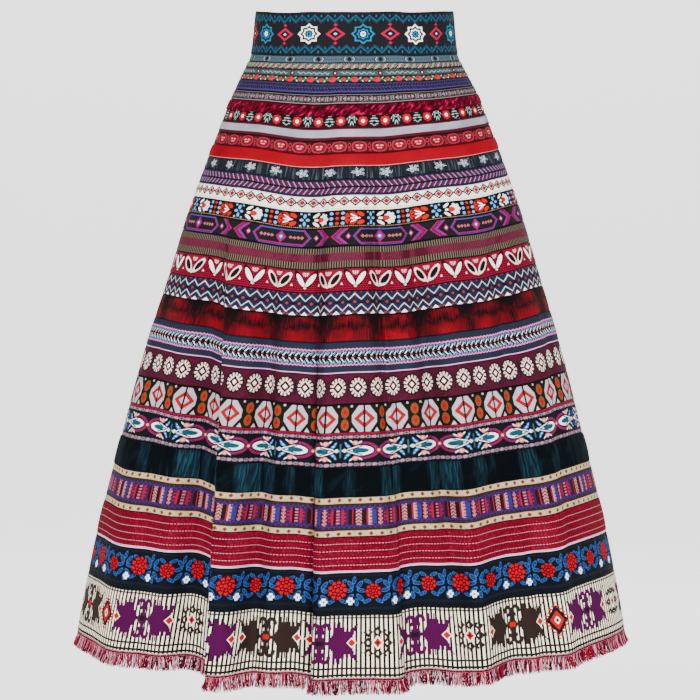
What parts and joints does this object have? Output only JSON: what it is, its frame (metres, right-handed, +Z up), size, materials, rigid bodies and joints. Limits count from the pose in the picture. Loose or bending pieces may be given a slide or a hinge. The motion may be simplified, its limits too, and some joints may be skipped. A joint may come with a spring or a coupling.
{
  "type": "ribbon skirt",
  "caption": "Worn A-line ribbon skirt: a fitted waistband over rings of woven, embroidered and velvet ribbon that flare in soft folds to a fringed hem, open at waist and hem.",
  "frame": {"origin": "centre of the waist opening, level with the waistband's top edge at the sides", "axes": "+Z up through the waist opening, -Y out of the skirt's front, +X towards the wearer's left side"},
  "size_m": [0.6479, 0.5337, 0.7582],
  "materials": {
    "waistband": "ribbed charcoal band with woven motifs",
    "slate_star_ribbon": "satin ribbon",
    "lace_scroll_trim": "corded lace on black",
    "slate_square_ribbon": "satin ribbon",
    "small_rose_ribbon": "woven jacquard",
    "violet_zigzag_ribbon": "woven jacquard",
    "lens_chain_ribbon": "woven jacquard",
    "crimson_velvet_ribbon": "crushed velvet",
    "red_flower_sprig_ribbon": "embroidered ribbon",
    "silver_felt_ribbon": "felted ribbon with edge stripes",
    "rounded_square_ribbon": "woven jacquard",
    "scarlet_velvet_ribbon": "velvet",
    "gathered_blue_ribbon": "gathered satin with embroidered sprigs",
    "slanted_bar_ribbon": "woven jacquard",
    "diamond_chain_ribbon": "woven cotton",
    "tulip_ribbon": "embroidered ribbon",
    "chevron_medallion_ribbon": "woven jacquard",
    "brown_tick_ribbon": "woven jacquard",
    "crimson_leaf_ribbon": "embroidered ribbon",
    "zigzag_diamond_ribbon": "woven jacquard",
    "ikat_ribbon": "ikat weave",
    "denim_braid_trim": "denim with chained braid",
    "burgundy_rosette_ribbon": "embroidered ribbon",
    "hexagon_ribbon": "embroidered ribbon",
    "petal_eye_ribbon": "embroidered ribbon",
    "teal_velvet_ribbon": "velvet",
    "kilim_block_ribbon": "woven kilim trim",
    "red_chenille_ribbon": "chenille with stitched lines",
    "rose_ribbon": "embroidered ribbon",
    "hem_kilim_ribbon": "striped kilim trim",
    "hem_fringe": "cut thread fringe"
  },
  "bodies": {
    "root": {"waistband": "waistband", "slate_star_ribbon": "slate_star_ribbon", "lace_scroll_trim": "lace_scroll_trim", "slate_square_ribbon": "slate_square_ribbon", "small_rose_ribbon": "small_rose_ribbon", "violet_zigzag_ribbon": "violet_zigzag_ribbon", "lens_chain_ribbon": "lens_chain_ribbon", "crimson_velvet_ribbon": "crimson_velvet_ribbon", "red_flower_sprig_ribbon": "red_flower_sprig_ribbon", "silver_felt_ribbon": "silver_felt_ribbon", "rounded_square_ribbon": "rounded_square_ribbon", "scarlet_velvet_ribbon": "scarlet_velvet_ribbon", "gathered_blue_ribbon": "gathered_blue_ribbon", "slanted_bar_ribbon": "slanted_bar_ribbon", "diamond_chain_ribbon": "diamond_chain_ribbon", "tulip_ribbon": "tulip_ribbon", "chevron_medallion_ribbon": "chevron_medallion_ribbon", "brown_tick_ribbon": "brown_tick_ribbon", "crimson_leaf_ribbon": "crimson_leaf_ribbon", "zigzag_diamond_ribbon": "zigzag_diamond_ribbon", "ikat_ribbon": "ikat_ribbon", "denim_braid_trim": "denim_braid_trim", "burgundy_rosette_ribbon": "burgundy_rosette_ribbon", "hexagon_ribbon": "hexagon_ribbon", "petal_eye_ribbon": "petal_eye_ribbon", "teal_velvet_ribbon": "teal_velvet_ribbon", "kilim_block_ribbon": "kilim_block_ribbon", "red_chenille_ribbon": "red_chenille_ribbon", "rose_ribbon": "rose_ribbon", "hem_kilim_ribbon": "hem_kilim_ribbon", "hem_fringe": "hem_fringe"}
  },
  "joints": []
}
